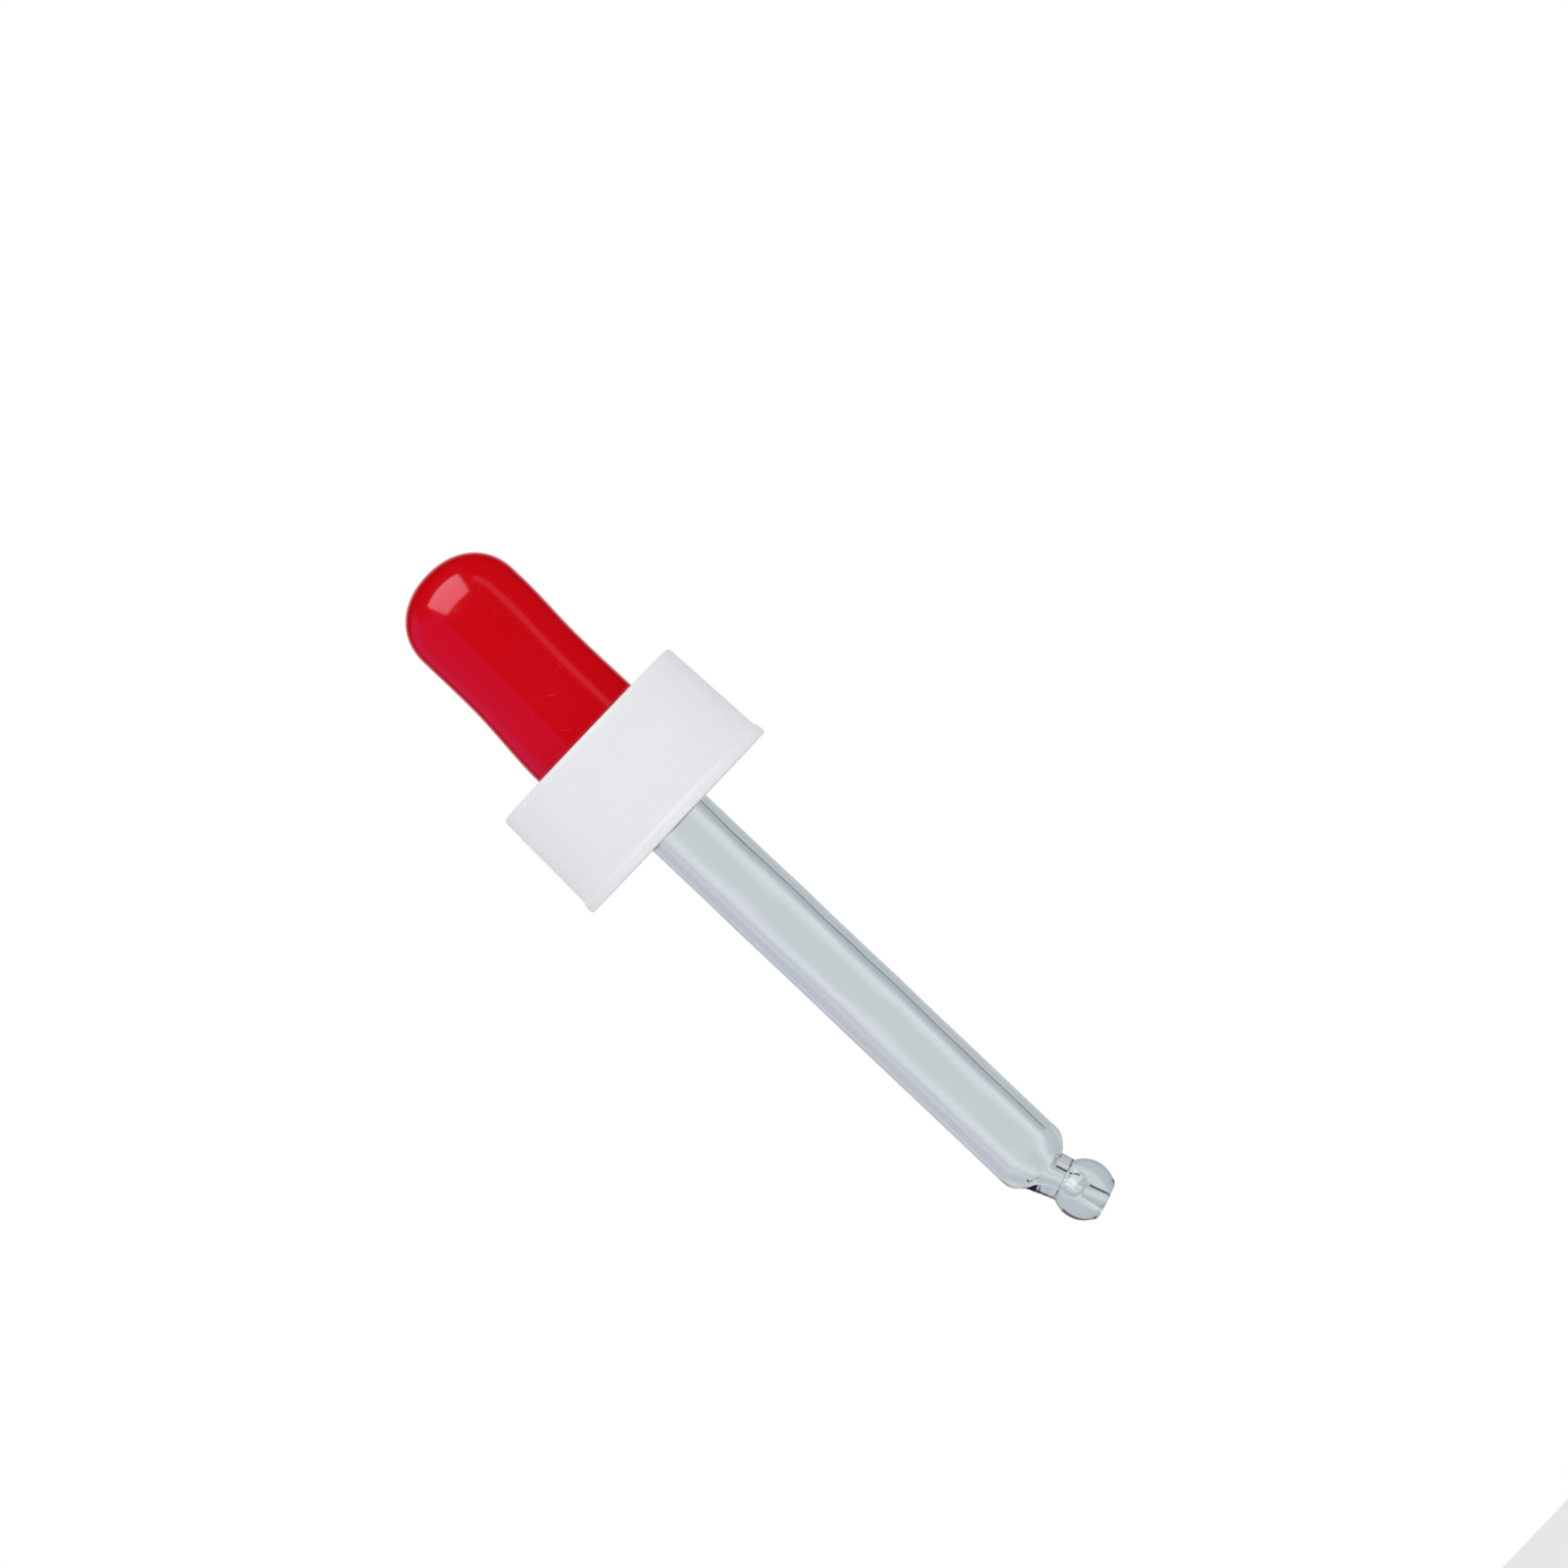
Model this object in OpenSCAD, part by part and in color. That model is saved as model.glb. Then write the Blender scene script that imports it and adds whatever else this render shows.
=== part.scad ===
// Medicine dropper that closes a bottle with an 18 mm threaded neck.
// Three real pieces: a moulded rubber bulb, a ribbed screw cap and a glass pipette with a bent ball tip.
// Millimetres. +Z runs up the axis, from the tip to the bulb. The origin is on the axis in the seal plane,
// where the underside of the bulb's flange lands on the bottle's lip.

/* [Screw cap] */
// Height of the cap from its rim to its top
cap_h = 11.4; // [10:0.1:16]
// Thickness of the skirt outside the thread, at the top of the cap
cap_wall = 1.5; // [1.1:0.05:2]
// How much the skirt's radius grows from its top to its rim
cap_draft = 0.35; // [0:0.05:0.6]
// Thickness of the top web that clamps the bulb's flange
cap_web = 1.4; // [1:0.1:2]
// Radius of the rounded top edge
cap_edge_r = 0.35; // [0.2:0.05:0.8]
// Height of the bead round the rim
bead_h = 1.05; // [0.6:0.05:2]
// How far the bead stands out of the skirt
bead_out = 0.2; // [0.1:0.05:0.6]
// Number of grip grooves round the skirt
groove_count = 64; // [24:1:80]
// Radius of a grip groove
groove_r = 0.35; // [0.25:0.05:0.4]
// Depth of a grip groove
groove_depth = 0.1; // [0.05:0.01:0.2]
// Height of the smooth band between the top edge and the grooves
groove_top_gap = 0.9; // [0.5:0.1:2]

/* [Bottle thread] */
// Root diameter of the cap's internal thread
thread_root_d = 18.2; // [16:0.1:24]
// Height of the thread's ridge
thread_depth = 0.85; // [0.5:0.05:1]
// Pitch of the thread
thread_pitch = 3; // [2.5:0.1:3.5]
// Number of turns
thread_turns = 1.6; // [1:0.1:1.8]
// Width of the ridge at its root
thread_root_w = 1.9; // [1.4:0.1:2.2]
// Width of the ridge at its crest
thread_crest_w = 0.7; // [0.4:0.1:1.2]
// Distance from the seal plane down to the middle of the ridge's upper end
thread_start = 1.7; // [1.5:0.1:2.5]

/* [Rubber bulb] */
// Height of the bulb above the cap
bulb_h = 20; // [17:0.5:26]
// Diameter of the bulb's body
bulb_d = 11.5; // [9.5:0.1:14]
// Thickness of the bulb's wall
bulb_wall = 1.3; // [0.9:0.1:1.5]
// How much wider the bulb is where it sits on the cap
foot_flare = 0.3; // [0:0.05:0.5]
// How much narrower the bulb is at its waist
waist_in = 0.2; // [0:0.05:0.5]
// Height of the waist above the cap
waist_z = 8; // [7:0.5:9]
// Height above the cap at which the bulb has its full diameter again
body_z = 13; // [11:0.5:13.5]
// Depth of the neck groove that the cap's web snaps into
snap_depth = 0.4; // [0.2:0.05:0.6]
// Thickness of the flange that seals on the bottle's lip
flange_t = 1.5; // [1:0.1:2.5]
// Gap between the flange's edge and the crest of the thread
flange_gap = 0.35; // [0.2:0.05:0.8]
// Height of the sleeve that grips the pipette, above the seal plane
sleeve_h = 5; // [4:0.1:6]
// Height of the seam above the cap, where the squeezed part of the bulb starts
dome_z = 3.4; // [3.2:0.1:4]

/* [Glass pipette] */
// Outer diameter of the glass tube
tube_d = 6.9; // [5.8:0.1:8]
// Wall of the glass tube
tube_wall = 0.75; // [0.6:0.05:1.2]
// Length of tube above the seal plane
tube_above = 5.4; // [4:0.1:7]
// Distance from the seal plane down to the start of the shoulder
tube_below = 51; // [35:0.5:90]
// Radius of the shoulder outside
shoulder_r = 2.4; // [2:0.1:2.6]
// Radius of the shoulder inside
bore_shoulder_r = 1.9; // [1.5:0.1:2]
// Thickness of glass that gathers in the shoulder
shoulder_wall = 0.6; // [0.5:0.1:1.2]
// Bend of the tip away from the tube's axis, in degrees
tip_bend = 17; // [0:0.1:22]
// Distance from the start of the shoulder to the bend
bend_below = 2.35; // [2:0.05:2.4]
// Diameter of the neck above the ball
neck_d = 4.05; // [3.4:0.05:4.4]
// Bore of the neck
neck_bore_d = 1.4; // [1:0.1:2.2]
// Distance from the bend to the middle of the ball
ball_reach = 3.75; // [3.4:0.05:6]
// Diameter of the ball
ball_d = 5.55; // [5:0.05:6.6]
// Diameter of the ground face at the end of the ball
face_d = 3; // [2:0.1:3.5]
// Diameter of the bubble inside the ball
bubble_d = 1.8; // [1.5:0.1:3]
// Distance from the middle of the ball up to the middle of the bubble
bubble_up = 0.7; // [0:0.1:1]
// Diameter of the orifice
orifice_d = 1.3; // [1:0.1:1.8]

/* [Fits] */
// Radial and axial clearance of the bulb's neck in the cap's web
swivel_fit = 0.05; // [0.02:0.01:0.1]
// Radial clearance of the pipette in the bulb's sleeve
grip_fit = 0.03; // [0.01:0.01:0.05]
// Gap between the bulb's base and its squeezed part
seam_gap = 0.1; // [0.05:0.05:0.2]

/* [Hidden] */
$fn = 96;
eps = 0.05;                 // how far a cutter runs past the face it opens
web_z = flange_t + swivel_fit;          // underside of the cap's web
cap_z = web_z + cap_web;                // top of the cap
rim_z = cap_z - cap_h;                  // rim of the cap
bead_z = rim_z + bead_h;                // top of the bead
cap_r = thread_root_d / 2 + cap_wall;   // skirt radius at the top
foot_r = cap_r + cap_draft;             // skirt radius at the rim
draft_angle = atan(cap_draft / cap_h);
crest_r = thread_root_d / 2 - thread_depth;
thread_low_z = -thread_start - thread_turns * thread_pitch;  // middle of the ridge at its lower end
thread_embed = 0.3;         // how deep the ridge's root is sunk into the skirt
thread_steps = 36;          // facets of the ridge per turn
thread_lead = 0.12;         // share of the ridge over which each end fades out
groove_fn = 20;             // facets of one groove cutter before it is made exact
bulb_r = bulb_d / 2;
seat_r = bulb_r + foot_flare / 2;       // bulb radius on the cap
waist_r = bulb_r - waist_in / 2;
bulb_neck_r = seat_r - snap_depth;      // bulb radius inside the web
web_hole_r = bulb_neck_r + swivel_fit;
flange_r = crest_r - flange_gap;
seat_z = cap_z + swivel_fit;            // underside of the bulb's seat on the cap
seam_z = cap_z + dome_z;
bulb_top_z = cap_z + bulb_h;
sleeve_r = tube_d / 2 + grip_fit;
tube_r = tube_d / 2;
bore_r = tube_r - tube_wall;
ball_r = ball_d / 2;
face_drop = sqrt(ball_r * ball_r - face_d * face_d / 4);  // from the ball's middle to its ground face
bore_floor = tube_below + shoulder_r - shoulder_wall;     // depth of the tube's own bore
neck_root = 1;              // how far the neck runs up into the shoulder, so that the bend leaves no notch

// Points of the bulb's outer wall between two heights above the cap, clear of its dome
function wall_r(h) =
    h <= waist_z ? seat_r + (waist_r - seat_r) * h / waist_z :
    h <= body_z ? waist_r + (bulb_r - waist_r) * (h - waist_z) / (body_z - waist_z) : bulb_r;

// One cross-section of the right-hand ridge at turn t, sunk by thread_embed, with its height faded to f
function thread_ring(t, f) =
    let (root = thread_root_d / 2, z = thread_low_z + t * thread_pitch, a = t * 360)
    [for (p = [[root + thread_embed, thread_root_w / 2], [root - thread_depth * f, thread_crest_w / 2],
               [root - thread_depth * f, -thread_crest_w / 2], [root + thread_embed, -thread_root_w / 2]])
        [p[0] * cos(a), p[0] * sin(a), z + p[1]]];

// The fade at both ends of the ridge, from 0.1 to 1
function thread_fade(s) = max(0.1, min(1, s / thread_lead, (1 - s) / thread_lead));

// One helical ridge, standing into the cap from its root and rising anticlockwise
module thread_ridge() {
    n = ceil(thread_turns * thread_steps);
    rings = [for (i = [0:n]) thread_ring(i / n * thread_turns, thread_fade(i / n))];
    sides = [for (i = [0:n - 1], j = [0:3])
        let (a = 4 * i + j, b = 4 * i + (j + 1) % 4)
        each [[a, b, b + 4], [a, b + 4, a + 4]]];
    ends = [[3, 2, 1], [3, 1, 0], [4 * n, 4 * n + 1, 4 * n + 2], [4 * n, 4 * n + 2, 4 * n + 3]];
    polyhedron(points = [for (ring = rings) each ring], faces = concat(sides, ends));
}

// The skirt and top of the cap as one drafted solid, with its rounded top edge and its bead
module cap_envelope() {
    rotate_extrude() {
        polygon([
            [0, rim_z], [foot_r, rim_z],
            for (a = [0:15:90])
                [cap_r + cap_edge_r * (cos(a) - 1), cap_z + cap_edge_r * (sin(a) - 1)],
            [0, cap_z]
        ]);
        polygon([
            [0, rim_z], [foot_r, rim_z], [foot_r + bead_out, rim_z + bead_out],
            [foot_r + bead_out, bead_z - bead_out / 2], [foot_r + bead_out / 2, bead_z], [0, bead_z]
        ]);
    }
}

// One grip groove, laid along the drafted skirt
module grip_groove() {
    groove_h = cap_h - bead_h - cap_edge_r - groove_top_gap;
    radius_at_bead = foot_r - cap_draft * bead_h / cap_h;
    translate([radius_at_bead - groove_depth + groove_r, 0, bead_z])
        rotate([0, -draft_angle, 0])
            cylinder(r = groove_r, h = groove_h, $fn = groove_fn);
}

module screw_cap() {
    color("whitesmoke")
    difference() {
        union() {
            difference() {
                cap_envelope();
                translate([0, 0, rim_z - 1]) cylinder(r = thread_root_d / 2, h = web_z - rim_z + 1);
            }
            thread_ridge();
        }
        translate([0, 0, web_z - 1]) cylinder(r = web_hole_r, h = cap_web + 2);
        for (i = [0:groove_count - 1])
            rotate([0, 0, i * 360 / groove_count]) grip_groove();
    }
}

// Outside of the bulb between two heights above the cap, up to its rounded top
module bulb_outline(low, high) {
    intersection() {
        union() {
            translate([0, cap_z])
                polygon([
                    [0, low],
                    for (h = [low, waist_z, body_z]) if (h >= low) [wall_r(h), h],
                    [bulb_r, bulb_h - bulb_r], [0, bulb_h - bulb_r]
                ]);
            translate([0, bulb_top_z - bulb_r]) circle(r = bulb_r);
        }
        translate([0, cap_z + low]) square([2 * bulb_r, high - low]);
    }
}

// Air chamber of the bulb, from the top of the sleeve to the inside of its dome
module chamber_outline() {
    chamber_r = waist_r - bulb_wall;
    top_z = bulb_top_z - bulb_wall - chamber_r;
    intersection() {
        union() {
            translate([0, sleeve_h]) square([chamber_r, top_z - sleeve_h]);
            translate([0, top_z]) circle(r = chamber_r);
        }
        translate([0, sleeve_h]) square([chamber_r, bulb_h + cap_z]);
    }
}

// Foot of the bulb: flange, neck, seat and grip sleeve. It keeps its shape when the bulb is squeezed.
module bulb_base() {
    color("crimson")
    difference() {
        union() {
            cylinder(r = flange_r, h = flange_t);
            cylinder(r = bulb_neck_r, h = seat_z + eps);
            rotate_extrude() bulb_outline(swivel_fit, dome_z);
        }
        translate([0, 0, -1]) cylinder(r = sleeve_r, h = seam_z + 2);
        rotate_extrude() chamber_outline();
    }
}

// Squeezed part of the bulb: a thin wall round the air chamber
module bulb_dome() {
    color("red")
    rotate_extrude()
        difference() {
            bulb_outline(dome_z + seam_gap, bulb_h);
            chamber_outline();
        }
}

// Outside or bore of the straight tube: radius r from the top down to depth, then a shoulder of radius s
module tube_outline(r, depth, s, top) {
    translate([0, -depth]) square([r, depth + top]);
    translate([0, -depth - s]) square([r - s, s]);
    intersection() {
        translate([r - s, -depth]) circle(r = s);
        translate([0, -depth - s]) square([r, s]);
    }
}

// Places its children in the frame of the bent tip, whose own axis runs down -Z from the bend
module at_bend() {
    translate([0, 0, -tube_below - bend_below]) rotate([0, -tip_bend, 0]) children();
}

module glass_pipette() {
    color("lightblue", 0.4)
    difference() {
        union() {
            rotate_extrude() tube_outline(tube_r, tube_below, shoulder_r, tube_above);
            at_bend() {
                translate([0, 0, -ball_reach]) cylinder(d = neck_d, h = ball_reach + neck_root);
                difference() {
                    translate([0, 0, -ball_reach]) sphere(r = ball_r);
                    translate([-ball_r, -ball_r, -ball_reach - face_drop - ball_r])
                        cube([ball_d, ball_d, ball_r]);
                }
            }
        }
        rotate_extrude() tube_outline(bore_r, bore_floor - bore_shoulder_r, bore_shoulder_r, tube_above + 1);
        at_bend() {
            translate([0, 0, -ball_reach]) cylinder(d = neck_bore_d, h = ball_reach + neck_root);
            translate([0, 0, bubble_up - ball_reach]) sphere(d = bubble_d);
            translate([0, 0, -ball_reach - ball_r - 1]) cylinder(d = orifice_d, h = ball_r + 1);
        }
    }
}

screw_cap();
bulb_base();
bulb_dome();
glass_pipette();
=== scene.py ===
import bpy
import bmesh
import math
from mathutils import Matrix, Vector


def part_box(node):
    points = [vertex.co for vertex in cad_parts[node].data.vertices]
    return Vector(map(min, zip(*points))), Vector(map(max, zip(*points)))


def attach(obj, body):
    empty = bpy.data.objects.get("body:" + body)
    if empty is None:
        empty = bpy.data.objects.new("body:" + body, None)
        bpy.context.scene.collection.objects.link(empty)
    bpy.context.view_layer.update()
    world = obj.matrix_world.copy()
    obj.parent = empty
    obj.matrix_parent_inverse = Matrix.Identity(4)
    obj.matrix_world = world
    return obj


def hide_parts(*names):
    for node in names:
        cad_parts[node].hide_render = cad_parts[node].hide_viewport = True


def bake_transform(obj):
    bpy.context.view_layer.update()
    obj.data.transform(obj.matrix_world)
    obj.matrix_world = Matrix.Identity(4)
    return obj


# Medicine dropper: a rubber bulb, a ribbed screw cap and a glass pipette with a bent ball tip.
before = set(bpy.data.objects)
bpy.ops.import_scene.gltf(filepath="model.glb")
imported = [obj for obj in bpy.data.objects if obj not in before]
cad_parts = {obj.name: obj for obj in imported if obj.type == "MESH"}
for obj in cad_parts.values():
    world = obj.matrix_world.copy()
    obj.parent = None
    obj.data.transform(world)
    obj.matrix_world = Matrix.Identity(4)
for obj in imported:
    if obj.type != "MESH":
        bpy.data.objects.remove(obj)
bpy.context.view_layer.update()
scene = bpy.context.scene
mm = 0.001
print("stage: frame loaded")

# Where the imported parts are, in millimetres
capLow, capHigh = [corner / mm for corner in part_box("screw_cap")]
footLow, footHigh = [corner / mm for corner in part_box("bulb_base")]
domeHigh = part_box("bulb_dome")[1] / mm
glassLow, glassHigh = [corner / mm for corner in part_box("glass_pipette")]
capTopZ = capHigh.z
capRimZ = capLow.z
beadRadius = capHigh.y
bulbTopZ = domeHigh.z
bulbRadius = domeHigh.y
flangeRadius = footHigh.y
tubeRadius = glassHigh.y


# Camera: square to the dropper's axis, with a long lens, rolled so that the bulb is at the upper left
shot = {
    "frameWidth": 139.2,     # mm across the picture at the dropper
    "axisTilt": 43.47,       # degrees between the dropper's axis and the picture's lower edge
    "aimAcross": 8.9,        # mm from the axis to the middle of the picture
    "aimBelowCapTop": 15.8,  # mm
    "lens": 400,             # mm
    "sensor": 36,            # mm
}


def addCamera():
    tilt = math.radians(shot["axisTilt"])
    right = Vector((math.sin(tilt), 0, -math.cos(tilt)))
    up = Vector((math.cos(tilt), 0, math.sin(tilt)))
    back = Vector((0, -1, 0))
    aim = Vector((shot["aimAcross"], 0, capTopZ - shot["aimBelowCapTop"])) * mm
    distance = shot["frameWidth"] * mm * shot["lens"] / shot["sensor"]
    data = bpy.data.cameras.new("camera")
    data.lens = shot["lens"]
    data.sensor_width = shot["sensor"]
    data.clip_start = 0.05
    data.clip_end = 20
    camera = bpy.data.objects.new("camera", data)
    scene.collection.objects.link(camera)
    turn = Matrix((right, up, back)).transposed().to_4x4()
    camera.matrix_world = Matrix.Translation(aim + back * distance) @ turn
    scene.camera = camera


addCamera()


# Node helpers, for shapes and for materials
def put(tree, kind, values=None, **settings):
    node = tree.nodes.new(kind)
    for key, value in settings.items():
        setattr(node, key, value)
    for key, value in (values or {}).items():
        if isinstance(value, bpy.types.NodeSocket):
            tree.links.new(value, node.inputs[key])
        else:
            node.inputs[key].default_value = value
    return node


def calc(tree, operation, *values):
    return put(tree, "ShaderNodeMath", dict(enumerate(values)), operation=operation).outputs[0]


def vectorCalc(tree, operation, *values):
    return put(tree, "ShaderNodeVectorMath", dict(enumerate(values)), operation=operation).outputs[0]


def scaled(tree, vector, amount):
    return put(tree, "ShaderNodeVectorMath", {0: vector, "Scale": amount}, operation="SCALE").outputs[0]


# Distance from the Z axis, and the direction straight away from it
def fromAxis(tree, place):
    across = vectorCalc(tree, "MULTIPLY", place, (1, 1, 0))
    radius = put(tree, "ShaderNodeVectorMath", {0: across}, operation="LENGTH").outputs["Value"]
    return radius, vectorCalc(tree, "NORMALIZE", across)


# 0 to 1 with soft ends as value goes from low to high
def softStep(tree, value, low, high):
    values = {"Value": value, "From Min": low, "From Max": high}
    return put(tree, "ShaderNodeMapRange", values, interpolation_type="SMOOTHSTEP").outputs[0]


# Rises from 0 to 1 over the first two limits and falls back over the last two
def softBand(tree, value, limits):
    low, lowEnd, highEnd, high = limits
    fall = calc(tree, "SUBTRACT", 1, softStep(tree, value, highEnd, high))
    return calc(tree, "MULTIPLY", softStep(tree, value, low, lowEnd), fall)


def newGroup(name, kind, inputs, outputs):
    group = bpy.data.node_groups.new(name, kind)
    for label, socketKind, value in inputs:
        socket = group.interface.new_socket(label, in_out="INPUT", socket_type=socketKind)
        if value is not None:
            socket.default_value = value
    for label, socketKind in outputs:
        group.interface.new_socket(label, in_out="OUTPUT", socket_type=socketKind)
    return group


# Outlines are lists of (radius, height) in mm. Corners are (radius, height, fillet).
# Each corner with a fillet becomes an arc of the given number of steps.
def roundedOutline(corners, steps=6):
    points = []
    for i, (r, z, fillet) in enumerate(corners):
        here = Vector((r, z))
        if fillet == 0 or i == 0 or i == len(corners) - 1:
            points.append(here)
            continue
        before = Vector(corners[i - 1][:2]) - here
        after = Vector(corners[i + 1][:2]) - here
        half = before.angle(after) / 2
        reach = min(fillet / math.tan(half), before.length * 0.49, after.length * 0.49)
        radius = reach * math.tan(half)
        inward = (before.normalized() + after.normalized()).normalized()
        middle = here + inward * radius / math.sin(half)
        start = here + before.normalized() * reach - middle
        end = here + after.normalized() * reach - middle
        sweep = start.angle_signed(end)
        for step in range(steps + 1):
            points.append(middle + Matrix.Rotation(-sweep * step / steps, 2) @ start)
    return points


# Adds points so that no stretch is longer than longest
def evenly(points, longest):
    result = [points[0]]
    for a, b in zip(points, points[1:]):
        count = max(1, math.ceil((b - a).length / longest))
        result += [a.lerp(b, (i + 1) / count) for i in range(count)]
    return result


def arc(centreZ, radius, fromDeg, toDeg, steps):
    angles = [math.radians(fromDeg + (toDeg - fromDeg) * i / steps) for i in range(steps + 1)]
    return [Vector((radius * math.sin(a), centreZ + radius * math.cos(a))) for a in angles]


# Geometry nodes that turn an outline round the axis
def turnedGroup(name, inputs, shape):
    sockets = [("Geometry", "NodeSocketGeometry", None), ("Segments", "NodeSocketInt", 192)]
    sockets += inputs + [("Material", "NodeSocketMaterial", None)]
    tree = newGroup(name, "GeometryNodeTree", sockets, [("Geometry", "NodeSocketGeometry")])
    tree.is_modifier = True
    given = put(tree, "NodeGroupInput").outputs
    outline = given["Geometry"]
    sized = put(tree, "GeometryNodeAttributeDomainSize", {"Geometry": outline}, component="MESH")
    count = sized.outputs["Point Count"]
    around = calc(tree, "ADD", given["Segments"], 1)
    sheet = put(tree, "GeometryNodeMeshGrid",
                {"Size X": 1, "Size Y": 1, "Vertices X": around, "Vertices Y": count}).outputs["Mesh"]
    place = put(tree, "GeometryNodeInputPosition").outputs[0]
    flat = put(tree, "ShaderNodeSeparateXYZ", {0: place}).outputs
    angle = calc(tree, "MULTIPLY", calc(tree, "ADD", flat["X"], 0.5), 2 * math.pi)
    row = calc(tree, "MULTIPLY", calc(tree, "ADD", flat["Y"], 0.5), calc(tree, "SUBTRACT", count, 1))
    index = put(tree, "FunctionNodeFloatToInt", {0: row}, rounding_mode="ROUND").outputs[0]
    sample = put(tree, "GeometryNodeSampleIndex", {"Geometry": outline, "Index": index},
                 data_type="FLOAT_VECTOR", domain="POINT")
    tree.links.new(place, sample.inputs["Value"])
    point = put(tree, "ShaderNodeSeparateXYZ", {0: sample.outputs[0]}).outputs
    turned = put(tree, "ShaderNodeCombineXYZ", {
        "X": calc(tree, "MULTIPLY", point["X"], calc(tree, "COSINE", angle)),
        "Y": calc(tree, "MULTIPLY", point["X"], calc(tree, "SINE", angle)),
        "Z": point["Z"]}).outputs[0]
    surface = put(tree, "GeometryNodeSetPosition", {"Geometry": sheet, "Position": turned}).outputs[0]
    surface = put(tree, "GeometryNodeMergeByDistance",
                  {"Geometry": surface, "Distance": 0.0003 * mm}).outputs[0]
    surface = shape(tree, surface, given)
    surface = put(tree, "GeometryNodeRealizeInstances", {"Geometry": surface}).outputs[0]
    surface = put(tree, "GeometryNodeSetMaterial",
                  {"Geometry": surface, "Material": given["Material"]}).outputs[0]
    put(tree, "NodeGroupOutput", {"Geometry": surface})
    return tree


# Runs a group on an outline and returns the result as a plain mesh object
def makeTurned(name, tree, outline, values, sharpDeg=40):
    mesh = bpy.data.meshes.new(name + "Outline")
    points = [(p.x * mm, 0, p.y * mm) for p in outline]
    mesh.from_pydata(points, [(i, i + 1) for i in range(len(points) - 1)], [])
    host = bpy.data.objects.new(name + "Outline", mesh)
    scene.collection.objects.link(host)
    modifier = host.modifiers.new("turned", "NODES")
    modifier.node_group = tree
    sockets = [item for item in tree.interface.items_tree if item.in_out == "INPUT"]
    identifiers = {socket.name: socket.identifier for socket in sockets}
    for label, value in values.items():
        modifier[identifiers[label]] = value
    graph = bpy.context.evaluated_depsgraph_get()
    result = bpy.data.meshes.new_from_object(host.evaluated_get(graph), depsgraph=graph)
    host.modifiers.clear()
    bpy.data.objects.remove(host)
    result.name = name
    shell = bmesh.new()
    shell.from_mesh(result)
    bmesh.ops.recalc_face_normals(shell, faces=shell.faces)
    for face in shell.faces:
        face.smooth = True
    for edge in shell.edges:
        edge.smooth = len(edge.link_faces) == 2 and edge.calc_face_angle(0) < math.radians(sharpDeg)
    shell.to_mesh(result)
    shell.free()
    piece = bpy.data.objects.new(name, result)
    scene.collection.objects.link(piece)
    print("stage:", name, len(result.polygons), "faces")
    return piece


# Fine detail that moulded and drawn surfaces share: cloudy variation, dust specks and short scratches
def surfaceDetail():
    number = "NodeSocketFloat"
    inputs = [("Cloud Scale", number, 150), ("Speck Scale", number, 900), ("Speck Share", number, 0.05),
              ("Scratch Scale", number, 250), ("Scratch Share", number, 0.3), ("Seed", number, 0)]
    outputs = [("Clouds", number), ("Specks", number), ("Scratches", number), ("Height", number)]
    tree = newGroup("surfaceDetail", "ShaderNodeTree", inputs, outputs)
    given = put(tree, "NodeGroupInput").outputs
    place = put(tree, "ShaderNodeTexCoord").outputs["Object"]
    shift = put(tree, "ShaderNodeCombineXYZ", {"X": given["Seed"], "Z": given["Seed"]}).outputs[0]
    place = vectorCalc(tree, "ADD", place, shift)
    clouds = put(tree, "ShaderNodeTexNoise",
                 {"Vector": place, "Scale": given["Cloud Scale"], "Detail": 4}).outputs[0]
    cells = put(tree, "ShaderNodeTexVoronoi", {"Vector": place, "Scale": given["Speck Scale"]})
    chance = put(tree, "ShaderNodeSeparateColor", {0: cells.outputs["Color"]}).outputs[0]
    dot = calc(tree, "SUBTRACT", 1, softStep(tree, cells.outputs["Distance"], 0.06, 0.16))
    specks = calc(tree, "MULTIPLY", dot, calc(tree, "LESS_THAN", chance, given["Speck Share"]))

    # each cell that is picked holds one thin flat sheet, which cuts the surface in a short line
    patches = put(tree, "ShaderNodeTexVoronoi", {"Vector": place, "Scale": given["Scratch Scale"]})
    offset = vectorCalc(tree, "SUBTRACT", place, patches.outputs["Position"])
    facing = vectorCalc(tree, "SUBTRACT", patches.outputs["Color"], (0.5, 0.5, 0.5))
    facing = vectorCalc(tree, "NORMALIZE", facing)
    fromSheet = put(tree, "ShaderNodeVectorMath", {0: offset, 1: facing}, operation="DOT_PRODUCT")
    fromSheet = calc(tree, "ABSOLUTE", fromSheet.outputs["Value"])
    fromSheet = calc(tree, "MULTIPLY", fromSheet, given["Scratch Scale"])
    sheet = calc(tree, "SUBTRACT", 1, softStep(tree, fromSheet, 0.003, 0.012))
    reach = calc(tree, "SUBTRACT", 1, softStep(tree, patches.outputs["Distance"], 0.2, 0.45))
    chance = put(tree, "ShaderNodeSeparateColor", {0: patches.outputs["Color"]}).outputs[2]
    picked = calc(tree, "LESS_THAN", chance, given["Scratch Share"])
    scratches = calc(tree, "MULTIPLY", calc(tree, "MULTIPLY", sheet, reach), picked)

    height = calc(tree, "ADD", calc(tree, "MULTIPLY", clouds, 0.3), calc(tree, "MULTIPLY", specks, 0.5))
    height = calc(tree, "SUBTRACT", height, calc(tree, "MULTIPLY", scratches, 0.3))
    put(tree, "NodeGroupOutput",
        {"Clouds": clouds, "Specks": specks, "Scratches": scratches, "Height": height})
    return tree


detailGroup = surfaceDetail()


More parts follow.
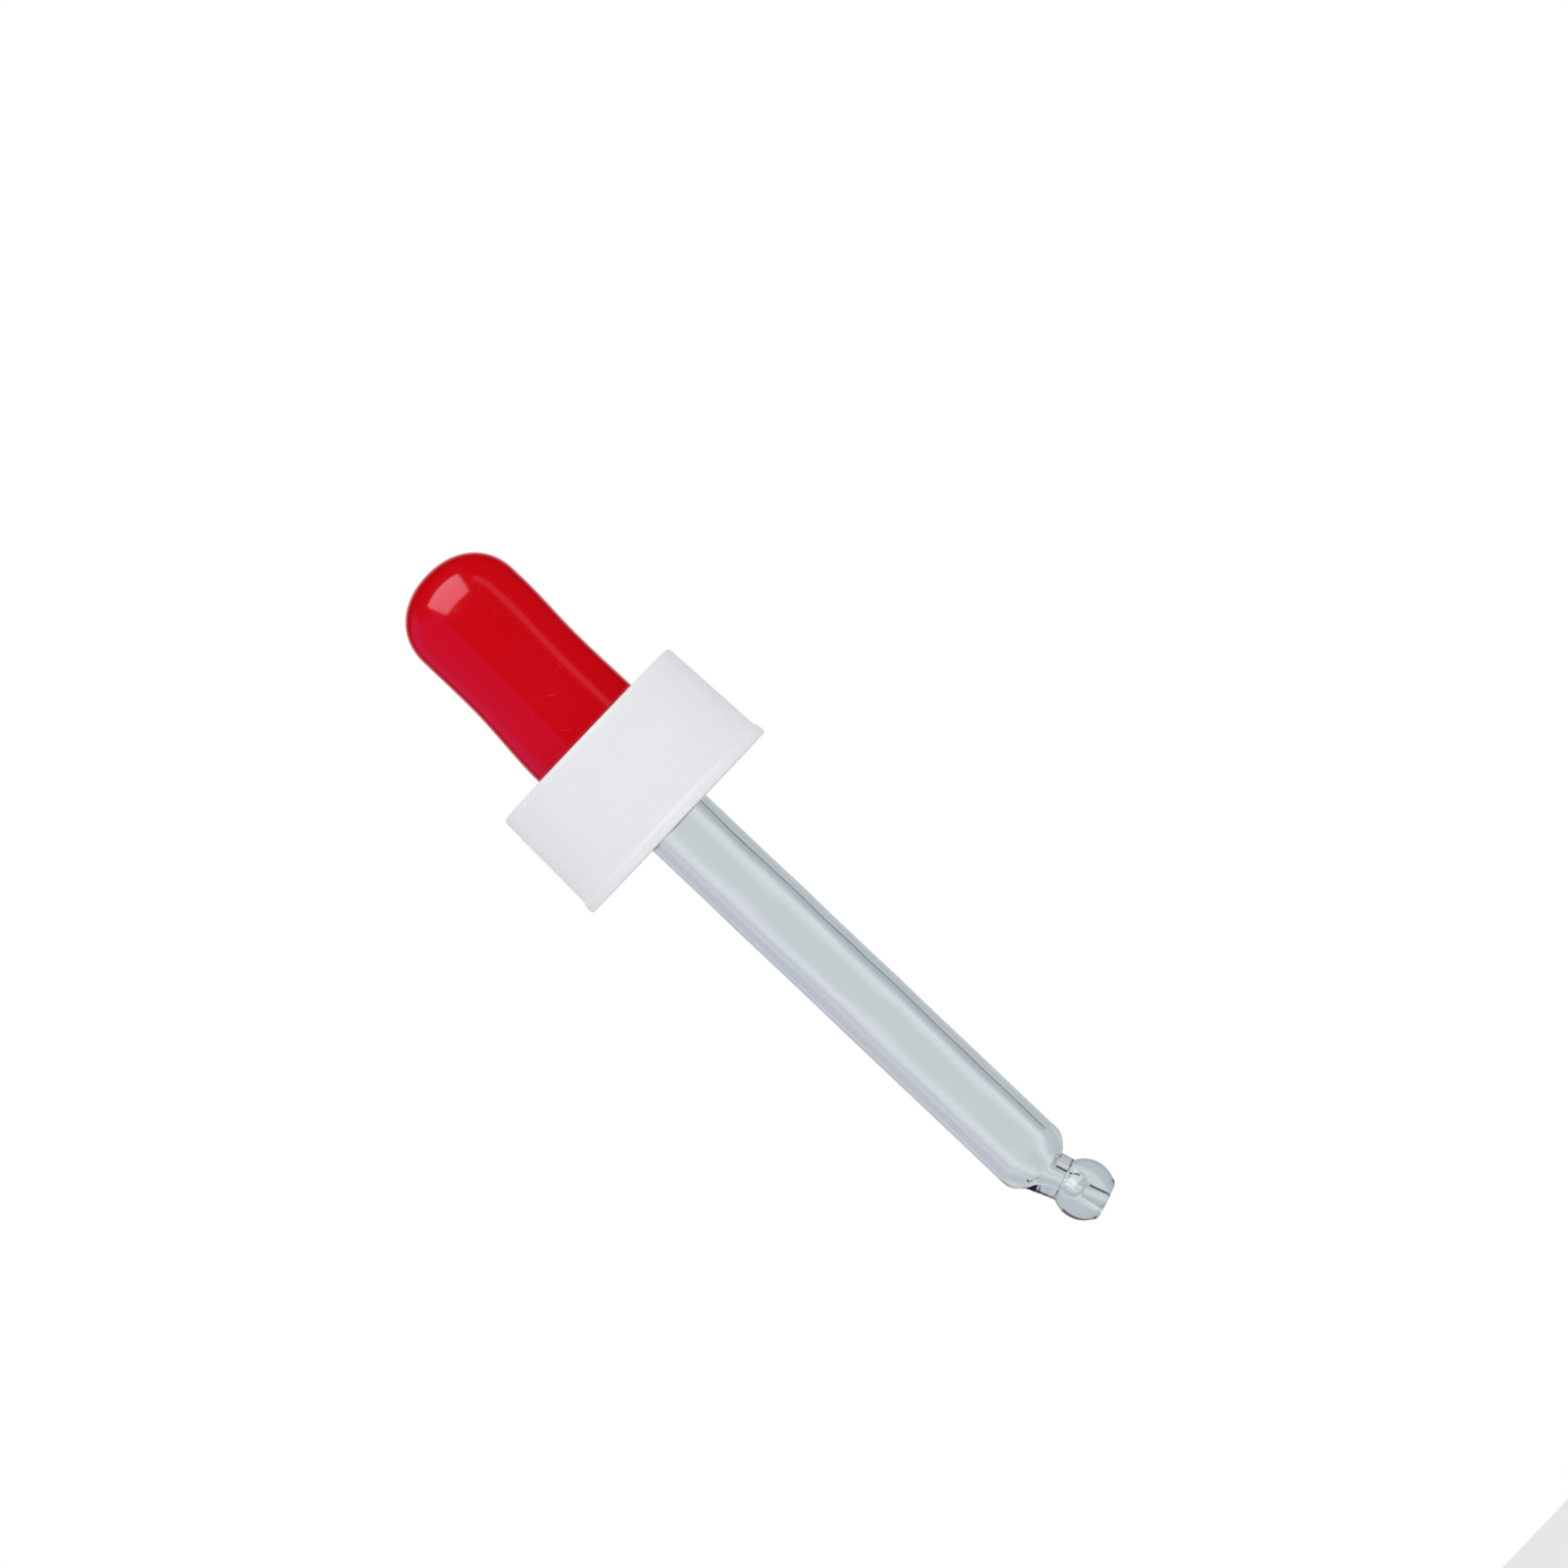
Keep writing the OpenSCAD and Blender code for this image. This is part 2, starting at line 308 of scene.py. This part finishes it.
def startMaterial(name, detail):
    material = bpy.data.materials.new(name)
    material.use_nodes = True
    tree = material.node_tree
    tree.nodes.clear()
    shader = put(tree, "ShaderNodeBsdfPrincipled")
    put(tree, "ShaderNodeOutputMaterial", {"Surface": shader.outputs[0]})
    group = put(tree, "ShaderNodeGroup", node_tree=detailGroup)
    for label, value in detail.items():
        group.inputs[label].default_value = value
    return material, tree, shader, group.outputs


def mixColours(tree, share, first, second):
    node = put(tree, "ShaderNodeMix", data_type="RGBA")
    for socket, value in ((node.inputs[0], share), (node.inputs[6], first), (node.inputs[7], second)):
        if isinstance(value, bpy.types.NodeSocket):
            tree.links.new(value, socket)
        else:
            socket.default_value = value
    return node.outputs[2]


# height, between 0 and 1, becomes a fine relief of depth metres
def addBump(tree, shader, height, depth):
    bump = put(tree, "ShaderNodeBump", {"Height": height, "Strength": 1, "Distance": depth})
    tree.links.new(bump.outputs[0], shader.inputs["Normal"])


# Rubber bulb, in mm
bulb = {
    "wall": 1.3,          # thickness of rubber round the air chamber
    "domeHeight": 5.2,    # from the top down to where the dome meets the body
    "domeSquareness": 2.15,  # 2 is an ellipse
    "waist": 0.1,         # how far the waist draws in
    "waistHeight": 8,     # above the cap
    "bodyHeight": 13.5,   # above the cap, where the full radius is reached again
    "seatFlare": 0.18,    # how far the seat on the cap stands out of the body
    "neckRadius": 5.5,    # inside the cap's hole
    "webUnder": 1.55,     # height of the underside of the cap's web
    "sleeveRadius": 3.53,
    "sleeveHeight": 5,
    "lean": 0.47,         # how far the bulb's top leans to +X
    "leanHeight": 13.5,   # above the cap, where the lean stops growing
    "seatGap": 0.05,      # clearance of the seat and the flange from the cap
    "red": (0.65, 0.0, 0.003),
    "deepRed": (0.61, 0.0, 0.005),
    "dust": (0.75, 0.12, 0.14),
}


def redRubber():
    detail = {"Cloud Scale": 160, "Speck Scale": 700, "Speck Share": 0.02, "Scratch Scale": 700,
              "Scratch Share": 0.3, "Seed": 3.1}
    material, tree, shader, found = startMaterial("redRubber", detail)
    body = mixColours(tree, found["Clouds"], bulb["red"] + (1,), bulb["deepRed"] + (1,))
    dust = calc(tree, "MULTIPLY", found["Specks"], 0.6)
    dusty = mixColours(tree, dust, body, bulb["dust"] + (1,))
    tree.links.new(dusty, shader.inputs["Base Color"])
    rough = calc(tree, "ADD", 0.11, calc(tree, "MULTIPLY", found["Clouds"], 0.06))
    rough = calc(tree, "ADD", rough, calc(tree, "MULTIPLY", found["Scratches"], 0.25))
    tree.links.new(rough, shader.inputs["Roughness"])
    shader.inputs["IOR"].default_value = 1.5
    shader.inputs["Specular Tint"].default_value = (1, 0.6, 0.75, 1)
    addBump(tree, shader, found["Height"], 0.02 * mm)
    return material


def smooth(t):
    t = max(0, min(1, t))
    return t * t * (3 - 2 * t)


def bulbOutline():
    seat = bulbRadius + bulb["seatFlare"]
    waist = bulbRadius - bulb["waist"]
    domeZ = bulbTopZ - bulb["domeHeight"]
    power = 2 / bulb["domeSquareness"]
    domeRows = 40
    dome = []
    for i in range(domeRows):
        a = math.radians(90 * i / domeRows)
        height = bulb["domeHeight"] * math.cos(a) ** power
        dome.append(Vector((bulbRadius * math.sin(a) ** power, domeZ + height)))
    body = []
    rows = 48
    for i in range(rows + 1):
        height = (domeZ - capTopZ) * (1 - i / rows)
        if height > bulb["waistHeight"]:
            share = smooth((height - bulb["waistHeight"]) / (bulb["bodyHeight"] - bulb["waistHeight"]))
            radius = waist + (bulbRadius - waist) * share
        else:
            radius = seat + (waist - seat) * smooth(height / bulb["waistHeight"])
        body.append(Vector((radius, capTopZ + bulb["seatGap"] + height)))
    seatEdge = body.pop()
    chamber = waist - bulb["wall"]
    innerTop = bulbTopZ - bulb["wall"]
    neck = bulb["neckRadius"]
    flangeTop = bulb["webUnder"] - bulb["seatGap"]
    foot = roundedOutline([
        (body[-1].x, body[-1].y, 0), (seatEdge.x, seatEdge.y, 0.18), (neck, seatEdge.y, 0.1),
        (neck, flangeTop, 0.2), (flangeRadius, flangeTop, 0.3),
        (flangeRadius, footLow.z, 0.3), (bulb["sleeveRadius"], footLow.z, 0.25),
        (bulb["sleeveRadius"], bulb["sleeveHeight"], 0.2), (chamber, bulb["sleeveHeight"], 0.3),
        (chamber, innerTop - chamber, 0)])
    inside = arc(innerTop - chamber, chamber, 90, 0, steps=24)
    return evenly(dome + body + foot[1:] + inside[1:], longest=0.9)


def leanOver(tree, surface, given):
    place = put(tree, "GeometryNodeInputPosition").outputs[0]
    height = put(tree, "ShaderNodeSeparateXYZ", {0: place}).outputs["Z"]
    share = softStep(tree, height, given["Lean From"], given["Lean To"])
    amount = calc(tree, "MULTIPLY", share, given["Lean"])
    offset = put(tree, "ShaderNodeCombineXYZ", {"X": amount}).outputs[0]
    return put(tree, "GeometryNodeSetPosition", {"Geometry": surface, "Offset": offset}).outputs[0]


def makeBulb():
    number = "NodeSocketFloat"
    inputs = [("Lean", number, 0), ("Lean From", number, 0), ("Lean To", number, 1)]
    tree = turnedGroup("turnedBulb", inputs, leanOver)
    piece = makeTurned("rubber_bulb", tree, bulbOutline(), {
        "Segments": 160, "Lean": bulb["lean"] * mm, "Lean From": capTopZ * mm,
        "Lean To": (capTopZ + bulb["leanHeight"]) * mm, "Material": redRubber()})
    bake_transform(piece)
    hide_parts("bulb_base", "bulb_dome")


# Screw cap, in mm
cap = {
    "topRadius": 10.6,
    "footRadius": 10.95,
    "holeRadius": 5.56,
    "rootRadius": 9.1,     # root of the thread
    "webUnder": 1.55,
    "beadHeight": 1.05,
    "edgeRadius": 0.45,
    "grooves": 64,
    "grooveDepth": 0.024,
    "smoothBand": 0.75,    # between the top edge and the grooves
    "threadDepth": 0.85,
    "threadPitch": 3,
    "threadTurns": 1.6,
    "threadStart": 1.7,    # below the seal plane
    "shade": (0.80, 0.81, 0.83),
    "white": (0.84, 0.85, 0.87),
}


def whitePlastic():
    detail = {"Cloud Scale": 220, "Speck Scale": 700, "Speck Share": 0.008, "Scratch Scale": 400,
              "Scratch Share": 0.2, "Seed": 8.4}
    material, tree, shader, found = startMaterial("whitePlastic", detail)
    body = mixColours(tree, found["Clouds"], cap["shade"] + (1,), cap["white"] + (1,))
    tree.links.new(body, shader.inputs["Base Color"])
    rough = calc(tree, "ADD", 0.5, calc(tree, "MULTIPLY", found["Clouds"], 0.12))
    tree.links.new(rough, shader.inputs["Roughness"])
    shader.inputs["IOR"].default_value = 1.4
    shader.inputs["Subsurface Weight"].default_value = 0.15
    shader.inputs["Subsurface Radius"].default_value = (1, 1, 1)
    shader.inputs["Subsurface Scale"].default_value = 0.8 * mm
    addBump(tree, shader, found["Height"], 0.02 * mm)
    return material


def capOutline():
    beadZ = capRimZ + cap["beadHeight"]
    slope = (cap["footRadius"] - cap["topRadius"]) / (capTopZ - capRimZ)
    beadFoot = cap["topRadius"] + slope * (capTopZ - beadZ)
    seam = (cap["holeRadius"] + cap["topRadius"]) / 2  # the outline starts and ends on the flat top
    return evenly(roundedOutline([
        (seam, capTopZ, 0), (cap["topRadius"], capTopZ, cap["edgeRadius"]),
        (beadFoot, beadZ + 0.2, 0.25), (beadRadius - 0.04, beadZ - 0.2, 0.25),
        (beadRadius, capRimZ, 0.28), (cap["rootRadius"] + 0.35, capRimZ, 0.3),
        (cap["rootRadius"], capRimZ + 0.5, 0.2), (cap["rootRadius"], cap["webUnder"], 0.4),
        (cap["holeRadius"], cap["webUnder"], 0.1), (cap["holeRadius"], capTopZ, 0.15),
        (seam, capTopZ, 0)]), longest=0.45)


# Presses grip grooves into the skirt and adds the thread inside
def ribbedAndThreaded(tree, surface, given):
    place = put(tree, "GeometryNodeInputPosition").outputs[0]
    flat = put(tree, "ShaderNodeSeparateXYZ", {0: place}).outputs
    angle = calc(tree, "ARCTAN2", flat["Y"], flat["X"])
    wave = calc(tree, "COSINE", calc(tree, "MULTIPLY", angle, given["Grooves"]))
    groove = softStep(tree, wave, 0.1, 1)
    radius, outward = fromAxis(tree, place)
    onSkirt = calc(tree, "GREATER_THAN", radius, given["Skirt Radius"])
    lowEnd = calc(tree, "ADD", given["Groove Low"], 0.3 * mm)  # the grooves fade out at both ends
    highEnd = calc(tree, "SUBTRACT", given["Groove High"], 0.5 * mm)
    limits = (given["Groove Low"], lowEnd, highEnd, given["Groove High"])
    mask = calc(tree, "MULTIPLY", onSkirt, softBand(tree, flat["Z"], limits))
    depth = calc(tree, "MULTIPLY", calc(tree, "MULTIPLY", groove, mask), given["Groove Depth"])
    offset = scaled(tree, outward, calc(tree, "MULTIPLY", depth, -1))
    surface = put(tree, "GeometryNodeSetPosition", {"Geometry": surface, "Offset": offset}).outputs[0]

    turns = given["Thread Turns"]
    rise = calc(tree, "MULTIPLY", turns, given["Thread Pitch"])
    path = put(tree, "GeometryNodeCurveSpiral",
               {"Resolution": 72, "Rotations": turns, "Start Radius": given["Thread Radius"],
                "End Radius": given["Thread Radius"], "Height": rise}).outputs[0]
    low = put(tree, "ShaderNodeCombineXYZ",
              {"Z": calc(tree, "SUBTRACT", given["Thread Top"], rise)}).outputs[0]
    path = put(tree, "GeometryNodeSetPosition", {"Geometry": path, "Offset": low}).outputs[0]
    along = put(tree, "GeometryNodeSplineParameter").outputs["Factor"]
    fade = calc(tree, "MULTIPLY", softStep(tree, along, 0, 0.1),
                softStep(tree, calc(tree, "SUBTRACT", 1, along), 0, 0.1))
    fade = calc(tree, "ADD", 0.3, calc(tree, "MULTIPLY", fade, 0.7))
    path = put(tree, "GeometryNodeSetCurveNormal", {"Curve": path}, mode="Z_UP").outputs[0]
    path = put(tree, "GeometryNodeSetCurveRadius", {"Curve": path, "Radius": fade}).outputs[0]
    section = put(tree, "GeometryNodeCurvePrimitiveCircle",
                  {"Resolution": 10, "Radius": given["Thread Depth"]}, mode="RADIUS").outputs[0]
    ridge = put(tree, "GeometryNodeCurveToMesh",
                {"Curve": path, "Profile Curve": section, "Fill Caps": True}).outputs[0]
    joined = put(tree, "GeometryNodeJoinGeometry")
    tree.links.new(surface, joined.inputs[0])
    tree.links.new(ridge, joined.inputs[0])
    return joined.outputs[0]


def makeCap():
    number = "NodeSocketFloat"
    inputs = [("Grooves", number, 64), ("Groove Depth", number, 0.0001), ("Groove Low", number, 0),
              ("Groove High", number, 0), ("Skirt Radius", number, 0), ("Thread Radius", number, 0),
              ("Thread Depth", number, 0), ("Thread Pitch", number, 0), ("Thread Turns", number, 1),
              ("Thread Top", number, 0)]
    tree = turnedGroup("turnedCap", inputs, ribbedAndThreaded)
    piece = makeTurned("ribbed_cap", tree, capOutline(), {
        "Segments": cap["grooves"] * 8, "Grooves": float(cap["grooves"]),
        "Groove Depth": cap["grooveDepth"] * mm,
        "Groove Low": (capRimZ + cap["beadHeight"] - 0.2) * mm,
        "Groove High": (capTopZ - cap["smoothBand"]) * mm,
        "Skirt Radius": (cap["rootRadius"] + 0.7) * mm, "Thread Radius": cap["rootRadius"] * mm,
        "Thread Depth": cap["threadDepth"] * mm, "Thread Pitch": cap["threadPitch"] * mm,
        "Thread Turns": float(cap["threadTurns"]), "Thread Top": -cap["threadStart"] * mm,
        "Material": whitePlastic()})
    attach(piece, "cap")
    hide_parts("screw_cap")


# Glass pipette, in mm. Heights are from the seal plane, so they are negative below it.
glass = {
    "wall": 0.75,
    "shoulderZ": -52.2,     # corner where the wall turns in
    "shoulderFillet": 2.4,
    "neckZ": -53.4,         # corner where the neck starts
    "neckFillet": 1.5,
    "neckTop": 2.1,         # radius of the neck at its top
    "neckFoot": 2.0,        # radius of the neck where it meets the ball
    "cavityZ": -51.7,       # corner inside the shoulder
    "throatZ": -53.5,       # corner inside the neck
    "neckBore": 0.7,
    "pivotZ": -53.35,       # the bend turns about this height
    "bendDeg": 17,
    "bendFrom": -53.0,
    "bendTo": -54.2,
    "ballReach": 3.75,      # from the pivot to the middle of the ball
    "ballRadius": 2.775,
    "faceDrop": 2.3,        # from the middle of the ball to its ground face
    "faceRadius": 1.75,
    "bubbleRadius": 0.9,
    "bubbleUp": 0.7,        # from the middle of the ball up to the middle of the bubble
    "orificeRadius": 0.7,
    "orificeThroat": 0.52,
    "waviness": 0.1,        # of the bore only
    "tint": (0.97, 0.985, 0.985),
    "clear": (0.985, 0.99, 0.995),
}


def clearGlass():
    detail = {"Cloud Scale": 90, "Speck Scale": 500, "Speck Share": 0.006, "Scratch Scale": 220,
              "Scratch Share": 0.1, "Seed": 5.7}
    material, tree, shader, found = startMaterial("clearGlass", detail)
    tint = mixColours(tree, found["Clouds"], glass["tint"] + (1,), glass["clear"] + (1,))
    tree.links.new(tint, shader.inputs["Base Color"])
    rough = calc(tree, "MULTIPLY", calc(tree, "ADD", found["Specks"], found["Scratches"]), 0.12)
    tree.links.new(rough, shader.inputs["Roughness"])
    shader.inputs["IOR"].default_value = 1.5
    shader.inputs["Transmission Weight"].default_value = 1
    shader.inputs["Metallic"].default_value = 0
    return material


def glassOutline():
    ballZ = glass["pivotZ"] - glass["ballReach"]
    ball = glass["ballRadius"]
    bore = tubeRadius - glass["wall"]
    topZ = glassHigh.z
    rimRadius = tubeRadius - glass["wall"] / 2
    joinDeg = math.degrees(math.asin(glass["neckFoot"] / ball))
    joinZ = ballZ + ball * math.cos(math.radians(joinDeg))
    faceZ = ballZ - glass["faceDrop"]
    outside = roundedOutline([
        (rimRadius, topZ, 0), (tubeRadius, topZ, 0.37),
        (tubeRadius, glass["shoulderZ"], glass["shoulderFillet"]),
        (glass["neckTop"], glass["neckZ"], glass["neckFillet"]), (glass["neckFoot"], joinZ, 0)], steps=14)
    globe = arc(ballZ, ball, joinDeg, 128, steps=30)
    bubble = glass["bubbleRadius"]
    bubbleZ = ballZ + glass["bubbleUp"]
    lowDeg = 180 - math.degrees(math.asin(glass["orificeThroat"] / bubble))
    highDeg = math.degrees(math.asin(glass["neckBore"] / bubble))
    hollow = arc(bubbleZ, bubble, lowDeg, highDeg, steps=20)
    end = roundedOutline([
        (globe[-1].x, globe[-1].y, 0), (glass["faceRadius"], faceZ, 0.9),
        (glass["orificeRadius"], faceZ, 0.2), (glass["orificeThroat"], ballZ - 0.5, 0.4),
        (hollow[0].x, hollow[0].y, 0)], steps=8)
    inside = roundedOutline([
        (hollow[-1].x, hollow[-1].y, 0), (glass["neckBore"], glass["throatZ"], 1.6),
        (bore, glass["cavityZ"], 2.2), (bore, topZ, 0.37), (rimRadius, topZ, 0)], steps=12)
    return evenly(outside[:-1] + globe[:-1] + end[:-1] + hollow[:-1] + inside, longest=0.5)


# Bends the tip over and gives the drawn glass its slight unevenness
def bentAndDrawn(tree, surface, given):
    place = put(tree, "GeometryNodeInputPosition").outputs[0]
    drawn = vectorCalc(tree, "MULTIPLY", place, (1, 1, 0.6))  # longer along the tube than round it
    noise = put(tree, "ShaderNodeTexNoise", {"Vector": drawn, "Scale": 240, "Detail": 1}).outputs[0]
    radius, outward = fromAxis(tree, place)
    inside = calc(tree, "LESS_THAN", radius, given["Bore Edge"])
    height = put(tree, "ShaderNodeSeparateXYZ", {0: place}).outputs["Z"]
    inTube = softStep(tree, height, given["Bend From"], calc(tree, "ADD", given["Bend From"], 2 * mm))
    amount = calc(tree, "MULTIPLY", calc(tree, "SUBTRACT", noise, 0.5), given["Waviness"])
    amount = calc(tree, "MULTIPLY", amount, calc(tree, "MULTIPLY", inside, inTube))
    offset = scaled(tree, outward, amount)
    surface = put(tree, "GeometryNodeSetPosition", {"Geometry": surface, "Offset": offset}).outputs[0]
    place = put(tree, "GeometryNodeInputPosition").outputs[0]
    height = put(tree, "ShaderNodeSeparateXYZ", {0: place}).outputs["Z"]
    depth, bendFrom, bendTo = [calc(tree, "MULTIPLY", value, -1)
                               for value in (height, given["Bend From"], given["Bend To"])]
    share = softStep(tree, depth, bendFrom, bendTo)
    pivot = put(tree, "ShaderNodeCombineXYZ", {"Z": given["Pivot"]}).outputs[0]
    angle = calc(tree, "MULTIPLY", share, calc(tree, "MULTIPLY", given["Bend"], -1))
    bent = put(tree, "ShaderNodeVectorRotate", {"Vector": place, "Center": pivot, "Angle": angle},
               rotation_type="Y_AXIS").outputs[0]
    return put(tree, "GeometryNodeSetPosition", {"Geometry": surface, "Position": bent}).outputs[0]


def makeGlass():
    number = "NodeSocketFloat"
    inputs = [("Waviness", number, 0), ("Bore Edge", number, 0), ("Bend", number, 0),
              ("Bend From", number, 0), ("Bend To", number, 0), ("Pivot", number, 0)]
    tree = turnedGroup("drawnPipette", inputs, bentAndDrawn)
    piece = makeTurned("ball_tip_pipette", tree, glassOutline(), {
        "Segments": 192, "Waviness": glass["waviness"] * mm,
        "Bore Edge": (tubeRadius - 0.6 * glass["wall"]) * mm, "Bend": math.radians(glass["bendDeg"]),
        "Bend From": glass["bendFrom"] * mm, "Bend To": glass["bendTo"] * mm,
        "Pivot": glass["pivotZ"] * mm, "Material": clearGlass()}, sharpDeg=60)
    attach(piece, "pipette")
    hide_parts("glass_pipette")


makeBulb()
makeCap()
makeGlass()


studio = {
    "floorDrop": 90,        # mm from the tip down to the floor
    "floorRadius": 0.7,     # metres
    "colours": {
        "ambient": (0.90, 0.905, 0.915),
        "backdrop": (0.62, 0.665, 0.69),
        "backdropGlow": (0.73, 0.775, 0.81),
        "backdropEdge": (0.50, 0.555, 0.59),
        "roomAside": (0.45, 0.49, 0.50),
        "roomRight": (0.05, 0.058, 0.05),
        "roomAhead": (0.0, 0.0, 0.0),
        "roomBehind": (0.8, 0.8, 0.85),
        "leftGlow": (0.36, 0.1, 0.44),
    },
    "glowBand": (2, 7, 8, 13),             # degrees aside where the backdrop glows
    "edgeRight": (12, 19),                 # degrees over which it darkens to the right
    "edgeLeft": (22, 31),
    "darkBand": (49, 58, 98, 106),         # degrees to the right that are dark through glass
    "leftBand": (-2.55, -2.45, -0.9, -0.6),  # radians, where the rubber mirrors the left glow
}


def addFloor():
    floorZ = (glassLow.z - studio["floorDrop"]) * mm
    mesh = bpy.data.meshes.new("floor")
    disc = bmesh.new()
    bmesh.ops.create_circle(disc, cap_ends=True, segments=96, radius=studio["floorRadius"],
                            matrix=Matrix.Translation((0, 0, floorZ)))
    disc.to_mesh(mesh)
    disc.free()
    floor = bpy.data.objects.new("floor", mesh)
    scene.collection.objects.link(floor)
    material = bpy.data.materials.new("paleFloor")
    material.use_nodes = True
    tree = material.node_tree
    shader = tree.nodes["Principled BSDF"]
    place = put(tree, "ShaderNodeTexCoord").outputs["Object"]
    grain = put(tree, "ShaderNodeTexNoise", {"Vector": place, "Scale": 6, "Detail": 3}).outputs[0]
    tree.links.new(mixColours(tree, grain, (0.9, 0.9, 0.9, 1), (0.93, 0.93, 0.93, 1)),
                   shader.inputs["Base Color"])
    shader.inputs["Roughness"].default_value = 0.9
    mesh.materials.append(material)
    floor.visible_transmission = False
    floor.visible_glossy = False


# White behind the dropper, soft light all round, and a cool backdrop that is dark to the right for glass
def addWorld():
    world = bpy.data.worlds.new("studio")
    scene.world = world
    world.use_nodes = True
    tree = world.node_tree
    tree.nodes.clear()
    path = put(tree, "ShaderNodeLightPath").outputs
    direction = put(tree, "ShaderNodeTexCoord").outputs["Generated"]
    look = put(tree, "ShaderNodeSeparateXYZ", {0: direction}).outputs
    angle = calc(tree, "ARCTAN2", look["X"], look["Y"])
    degrees = calc(tree, "MULTIPLY", angle, 180 / math.pi)
    colours = {name: value + (1,) for name, value in studio["colours"].items()}

    # what light that has been through glass sees
    glow = softBand(tree, calc(tree, "ABSOLUTE", degrees), studio["glowBand"])
    through = mixColours(tree, glow, colours["backdrop"], colours["backdropGlow"])
    rightEdge = softStep(tree, degrees, *studio["edgeRight"])
    leftEdge = softStep(tree, calc(tree, "MULTIPLY", degrees, -1), *studio["edgeLeft"])
    edge = calc(tree, "MAXIMUM", rightEdge, leftEdge)
    through = mixColours(tree, edge, through, colours["backdropEdge"])
    ahead = softStep(tree, look["Y"], 0.15, 0.5)
    through = mixColours(tree, ahead, colours["roomAside"], through)
    darkSide = softBand(tree, degrees, studio["darkBand"])
    darkSide = calc(tree, "MULTIPLY", darkSide, softStep(tree, look["Z"], -0.12, -0.03))
    through = mixColours(tree, darkSide, through, colours["roomRight"])

    # what a surface mirrors
    straightBehind = softStep(tree, look["Y"], 0.82, 1)
    mirrored = mixColours(tree, straightBehind, colours["roomAhead"], colours["roomBehind"])
    steepness = calc(tree, "ABSOLUTE", look["Z"])
    level = calc(tree, "SUBTRACT", 1, softStep(tree, steepness, 0.6, 0.8))
    leftSide = calc(tree, "MULTIPLY", level, softBand(tree, angle, studio["leftBand"]))
    mirrored = mixColours(tree, leftSide, mirrored, colours["leftGlow"])

    seen = mixColours(tree, path["Is Glossy Ray"], colours["ambient"], mirrored)
    glassBefore = calc(tree, "GREATER_THAN", path["Transmission Depth"], 0.5)
    seen = mixColours(tree, glassBefore, seen, through)
    seen = mixColours(tree, path["Is Camera Ray"], seen, (1, 1, 1, 1))
    background = put(tree, "ShaderNodeBackground", {"Color": seen, "Strength": 1})
    put(tree, "ShaderNodeOutputWorld", {"Surface": background.outputs[0]})


# A rectangular soft light facing the dropper, in degrees and metres. Azimuth 0 is the camera's side.
# Radiance 1 is as bright as the white behind the dropper.
def addPanel(name, azimuth, elevation, distance, width, height, radiance, colour):
    data = bpy.data.lights.new(name, "AREA")
    data.shape = "RECTANGLE"
    data.size = width
    data.size_y = height
    data.color = colour
    data.energy = radiance * math.pi * width * height
    light = bpy.data.objects.new(name, data)
    scene.collection.objects.link(light)
    a = math.radians(azimuth)
    e = math.radians(elevation)
    outward = Vector((math.sin(a) * math.cos(e), -math.cos(a) * math.cos(e), math.sin(e)))
    light.location = outward * distance
    light.rotation_mode = "QUATERNION"
    light.rotation_quaternion = outward.to_track_quat("Z", "Y")
    light.visible_camera = False
    light.visible_transmission = False
    return light


addFloor()
addWorld()
window = addPanel("windowReflection", azimuth=4, elevation=60, distance=0.6, width=0.68, height=0.64,
                  radiance=4.6, colour=(1, 0.96, 0.97))
window.visible_diffuse = False
strip = addPanel("rightStrip", azimuth=68, elevation=0, distance=0.5, width=0.11, height=0.8,
                 radiance=0.7, colour=(1, 0.9, 1))
strip.visible_diffuse = False
key = addPanel("keyLight", azimuth=0, elevation=35, distance=0.9, width=1.0, height=0.9,
               radiance=0.35, colour=(1, 1, 0.99))
key.visible_glossy = False
scene.view_settings.view_transform = "Standard"
# light that runs inside the glass needs many mirror bounces, or the shoulder turns black
scene.cycles.max_bounces = 24
scene.cycles.glossy_bounces = 20
scene.cycles.transmission_bounces = 20
print("stage: studio ready")
